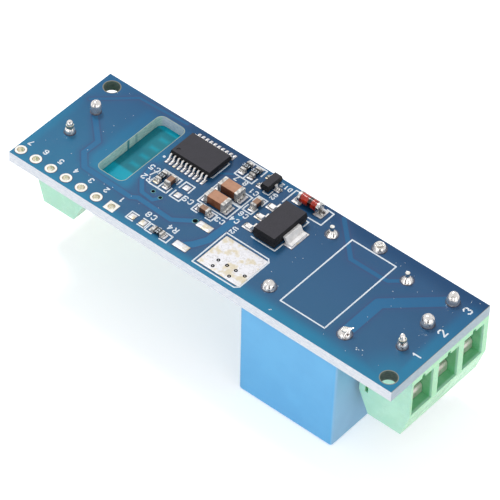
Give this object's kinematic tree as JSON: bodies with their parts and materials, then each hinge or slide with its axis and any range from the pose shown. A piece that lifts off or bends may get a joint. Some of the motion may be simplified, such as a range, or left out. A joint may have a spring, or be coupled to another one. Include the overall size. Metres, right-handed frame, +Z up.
{
  "type": "relay module board",
  "caption": "Narrow blue circuit board with a blue relay and green screw terminal blocks underneath, and small surface parts, solder joints and a window on top.",
  "frame": {"origin": "middle of the board in plan, at the level of the relay's flat face, which is the lowest", "axes": "+X along the board towards the output terminals, +Y across it away from the header row, +Z up, towards the soldered side"},
  "size_m": [0.062, 0.0194, 0.0189],
  "materials": {
    "board": "glossy solder mask on glass fibre",
    "tinned_copper": "tinned copper",
    "relay_blue": "satin",
    "relay_base": "satin",
    "tinned_pins": "tinned",
    "relay_bobbin": "satin",
    "copper_wire": "enamelled copper wire",
    "iron": "plated iron",
    "bronze_spring": "bronze strip",
    "terminal_green": "satin",
    "tinned_brass": "tinned brass",
    "plated_steel": "nickel plated",
    "solder": "bright",
    "radio_board": "glossy solder mask",
    "radio_gold": "copper under mask",
    "chip_black": "moulded",
    "crystal_can": "satin",
    "ceramic_brown": "ceramic",
    "leads": "tinned",
    "diode_glass": "glass over a red bead",
    "resistor_black": "glazed ceramic"
  },
  "bodies": {
    "board": {"circuit_board": "board", "header_sleeves": "tinned_copper", "copper_lands": "tinned_copper", "relay_case": "relay_blue", "relay_base": "relay_base", "relay_coil_pins": "tinned_pins", "relay_contact_pins": "tinned_pins", "relay_bobbin": "relay_bobbin", "relay_winding": "copper_wire", "relay_yoke": "iron", "relay_armature": "iron", "relay_spring": "bronze_spring", "output_housing": "terminal_green", "power_housing": "terminal_green", "contact_1": "tinned_brass", "contact_2": "tinned_brass", "contact_3": "tinned_brass", "contact_4": "tinned_brass", "contact_5": "tinned_brass", "solder_power": "solder", "solder_output": "solder", "solder_relay": "solder", "radio_solder": "solder", "radio_board": "radio_board", "radio_aerial": "radio_gold", "radio_chip": "chip_black", "controller_body": "chip_black", "regulator_body": "chip_black", "transistor_body": "chip_black", "radio_crystal": "crystal_can", "radio_clock_crystal": "crystal_can", "radio_passives": "ceramic_brown", "bulk_capacitor_1": "ceramic_brown", "bulk_capacitor_2": "ceramic_brown", "capacitor_1": "ceramic_brown", "capacitor_2": "ceramic_brown", "capacitor_3": "ceramic_brown", "controller_leads": "leads", "regulator_leads": "leads", "regulator_tab": "leads", "transistor_leads": "leads", "diode_caps": "leads", "capacitor_ends": "leads", "resistor_ends": "leads", "diode_glass": "diode_glass", "resistor_1": "resistor_black", "resistor_2": "resistor_black", "resistor_3": "resistor_black", "resistor_4": "resistor_black"},
    "guard_1": {"wire_guard_1": "plated_steel"},
    "screw_1": {"clamp_screw_1": "plated_steel"},
    "guard_2": {"wire_guard_2": "plated_steel"},
    "screw_2": {"clamp_screw_2": "plated_steel"},
    "guard_3": {"wire_guard_3": "plated_steel"},
    "screw_3": {"clamp_screw_3": "plated_steel"},
    "guard_4": {"wire_guard_4": "plated_steel"},
    "screw_4": {"clamp_screw_4": "plated_steel"},
    "guard_5": {"wire_guard_5": "plated_steel"},
    "screw_5": {"clamp_screw_5": "plated_steel"}
  },
  "joints": [
    {"name": "clamp_1_slide", "type": "slide", "parent": "board", "child": "guard_1", "axis": [0, 0, 1], "range_m": [0, 0.00225]},
    {"name": "clamp_1_turn", "type": "hinge", "parent": "guard_1", "child": "screw_1", "pos_m": [0.0273, -0.00287, 0.0075], "axis": [0, 0, 1], "range_deg": [0, 1621]},
    {"name": "clamp_2_slide", "type": "slide", "parent": "board", "child": "guard_2", "axis": [0, 0, 1], "range_m": [0, 0.00225]},
    {"name": "clamp_2_turn", "type": "hinge", "parent": "guard_2", "child": "screw_2", "pos_m": [0.0273, 0.00213, 0.0075], "axis": [0, 0, 1], "range_deg": [0, 1621]},
    {"name": "clamp_3_slide", "type": "slide", "parent": "board", "child": "guard_3", "axis": [0, 0, 1], "range_m": [0, 0.00225]},
    {"name": "clamp_3_turn", "type": "hinge", "parent": "guard_3", "child": "screw_3", "pos_m": [0.0273, 0.00713, 0.0075], "axis": [0, 0, 1], "range_deg": [0, 1621]},
    {"name": "clamp_4_slide", "type": "slide", "parent": "board", "child": "guard_4", "axis": [0, 0, 1], "range_m": [0, 0.00225]},
    {"name": "clamp_4_turn", "type": "hinge", "parent": "guard_4", "child": "screw_4", "pos_m": [-0.0273, 0.00314, 0.0075], "axis": [0, 0, 1], "range_deg": [0, 1621]},
    {"name": "clamp_5_slide", "type": "slide", "parent": "board", "child": "guard_5", "axis": [0, 0, 1], "range_m": [0, 0.00225]},
    {"name": "clamp_5_turn", "type": "hinge", "parent": "guard_5", "child": "screw_5", "pos_m": [-0.0273, -0.00186, 0.0075], "axis": [0, 0, 1], "range_deg": [0, 1621]}
  ],
  "couplings": [
    {"joint": "clamp_1_turn", "follows": "clamp_1_slide", "rad_per_m": 12566},
    {"joint": "clamp_2_turn", "follows": "clamp_2_slide", "rad_per_m": 12566},
    {"joint": "clamp_3_turn", "follows": "clamp_3_slide", "rad_per_m": 12566},
    {"joint": "clamp_4_turn", "follows": "clamp_4_slide", "rad_per_m": 12566},
    {"joint": "clamp_5_turn", "follows": "clamp_5_slide", "rad_per_m": 12566}
  ]
}
